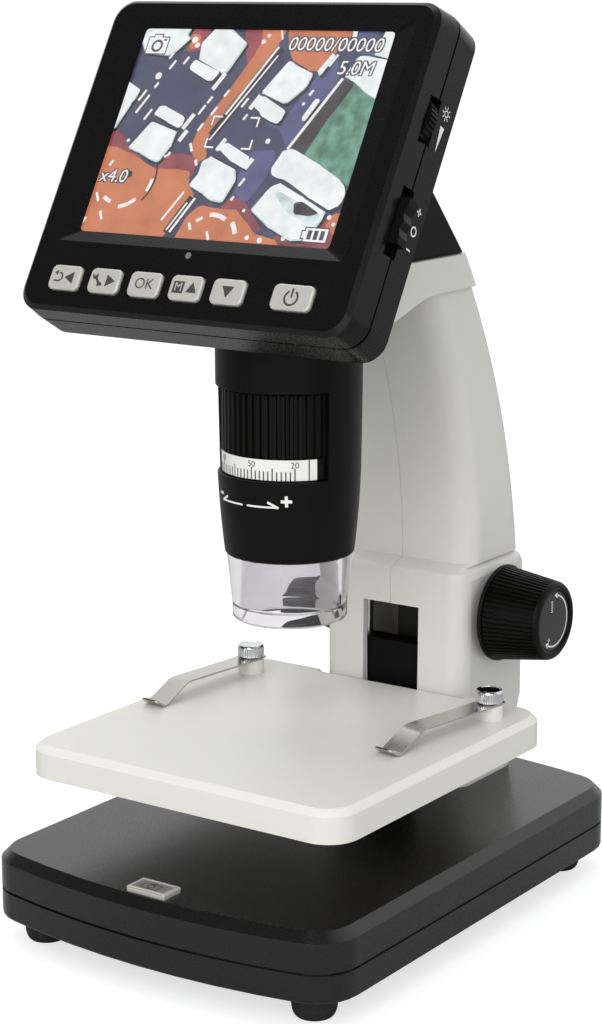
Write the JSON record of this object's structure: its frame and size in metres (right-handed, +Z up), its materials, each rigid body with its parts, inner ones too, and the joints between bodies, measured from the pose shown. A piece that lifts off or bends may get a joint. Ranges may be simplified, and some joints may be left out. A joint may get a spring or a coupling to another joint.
{
  "type": "digital microscope",
  "caption": "Desktop digital microscope with a tilted screen head, zoom tube over a clip stage, rack focus knobs on a curved column and a weighted base.",
  "frame": {"origin": "on the ground under the middle of the base, between the rubber feet", "axes": "+Z up, front with the screen and the snap button towards -Y, +X to the viewer's right"},
  "size_m": [0.1026, 0.143, 0.226],
  "materials": {
    "white_plastic": "satin moulded ivory white",
    "black_plastic": "satin fine-grained black",
    "barrel_black": "matte black with a soft grip paint",
    "rubber": "matte",
    "steel": "zinc-plated",
    "iron": "rough plate",
    "battery_wrap": "shrink-wrapped",
    "silver_key": "satin silver paint",
    "board_green": "solder mask",
    "brass": "machined",
    "cable": "matte jacket",
    "knob_disc": "glossy",
    "chrome": "polished",
    "clip_steel": "brushed spring strip",
    "screen_glass": "glossy cover",
    "panel": "display panel in a metal frame",
    "component_grey": "moulded",
    "clear_plastic": "clear moulding",
    "lens_glass": "coated",
    "white_print": "printed band",
    "light_lens": "translucent"
  },
  "bodies": {
    "stand": {"base_top_shell": "black_plastic", "base_bottom_shell": "black_plastic", "rubber_feet": "rubber", "base_screws": "steel", "ballast_plate": "iron", "battery_pack": "battery_wrap", "shutter_board": "board_green", "column_left_shell": "white_plastic", "column_right_shell": "white_plastic", "column_screws": "steel", "guide_rods": "steel", "shaft_bushes": "brass", "arm_collar": "white_plastic", "collar_screws": "steel", "wire_harness": "cable", "head_housing": "black_plastic", "head_screws": "steel", "monitor_rear_shell": "black_plastic", "monitor_front_shell": "black_plastic", "monitor_screws": "steel", "screen_window": "screen_glass", "lcd_panel": "panel", "main_board": "board_green", "key_switches": "component_grey", "status_led": "light_lens", "usb_socket": "steel", "card_socket": "steel", "wheel_pot": "component_grey", "lever_switch": "component_grey", "barrel": "barrel_black", "sensor_board": "board_green", "led_ring": "light_lens", "nosepiece": "clear_plastic"},
    "stage": {"stage_plate": "white_plastic", "stage_carriage": "black_plastic", "focus_rack": "brass", "stage_screws": "steel", "clip_screws": "chrome"},
    "focus_spindle": {"focus_shaft": "steel", "pinion_gear": "brass", "knob_right": "barrel_black", "knob_left": "barrel_black", "knob_cap_right": "knob_disc", "knob_cap_left": "knob_disc"},
    "left_clip": {"clip_left": "clip_steel"},
    "right_clip": {"clip_right": "clip_steel"},
    "zoom_dial": {"zoom_ring": "barrel_black", "scale_band": "white_print"},
    "lens_unit": {"lens_carrier": "component_grey", "objective_lens": "lens_glass"},
    "snap_key": {"snap_button": "silver_key"},
    "back_key": {"back_button": "silver_key"},
    "setup_key": {"setup_button": "silver_key"},
    "ok_key": {"ok_button": "silver_key"},
    "mode_key": {"mode_button": "silver_key"},
    "down_key": {"down_button": "silver_key"},
    "power_key": {"power_button": "silver_key"},
    "light_wheel": {"brightness_wheel": "barrel_black"},
    "zoom_slider": {"zoom_lever": "barrel_black"}
  },
  "joints": [
    {"name": "stage_lift", "type": "slide", "parent": "stand", "child": "stage", "axis": [0, 0, 1], "range_m": [-0.01, 0.018]},
    {"name": "focus_turn", "type": "hinge", "parent": "stand", "child": "focus_spindle", "pos_m": [0, 0.0516, 0.0686], "axis": [1, 0, 0], "range_deg": [-216, 121]},
    {"name": "left_clip_swing", "type": "hinge", "parent": "stage", "child": "left_clip", "pos_m": [-0.037, 0.0245, 0.0529], "axis": [0, 0, 1], "range_deg": [-32, 45]},
    {"name": "right_clip_swing", "type": "hinge", "parent": "stage", "child": "right_clip", "pos_m": [0.037, 0.0245, 0.0529], "axis": [0, 0, 1], "range_deg": [-38, 35]},
    {"name": "zoom_turn", "type": "hinge", "parent": "stand", "child": "zoom_dial", "pos_m": [0, -0.0096, 0.125], "axis": [0, 0, 1], "range_deg": [-60, 120]},
    {"name": "lens_slide", "type": "slide", "parent": "stand", "child": "lens_unit", "axis": [0, 0, 1], "range_m": [-0.0041, 0.0081]},
    {"name": "snap_press", "type": "slide", "parent": "stand", "child": "snap_key", "axis": [0, 0, -1], "range_m": [0, 0.0008], "stiffness_N_per_m": 800},
    {"name": "back_press", "type": "slide", "parent": "stand", "child": "back_key", "axis": [0, 0.866, -0.5], "range_m": [0, 0.0004], "stiffness_N_per_m": 800},
    {"name": "setup_press", "type": "slide", "parent": "stand", "child": "setup_key", "axis": [0, 0.866, -0.5], "range_m": [0, 0.0004], "stiffness_N_per_m": 800},
    {"name": "ok_press", "type": "slide", "parent": "stand", "child": "ok_key", "axis": [0, 0.866, -0.5], "range_m": [0, 0.0004], "stiffness_N_per_m": 800},
    {"name": "mode_press", "type": "slide", "parent": "stand", "child": "mode_key", "axis": [0, 0.866, -0.5], "range_m": [0, 0.0004], "stiffness_N_per_m": 800},
    {"name": "down_press", "type": "slide", "parent": "stand", "child": "down_key", "axis": [0, 0.866, -0.5], "range_m": [0, 0.0004], "stiffness_N_per_m": 800},
    {"name": "power_press", "type": "slide", "parent": "stand", "child": "power_key", "axis": [0, 0.866, -0.5], "range_m": [0, 0.0004], "stiffness_N_per_m": 800},
    {"name": "wheel_turn", "type": "hinge", "parent": "stand", "child": "light_wheel", "pos_m": [0.042, -0.02242, 0.20011], "axis": [0, -0.866, 0.5], "range_deg": [-135, 135]},
    {"name": "lever_slide", "type": "slide", "parent": "stand", "child": "zoom_slider", "axis": [0, 0.5, 0.866], "range_m": [-0.0025, 0.0025], "stiffness_N_per_m": 200}
  ],
  "couplings": [
    {"joint": "focus_turn", "follows": "stage_lift", "rad_per_m": -208.33},
    {"joint": "lens_slide", "follows": "zoom_turn", "m_per_rad": 0.0038197}
  ]
}
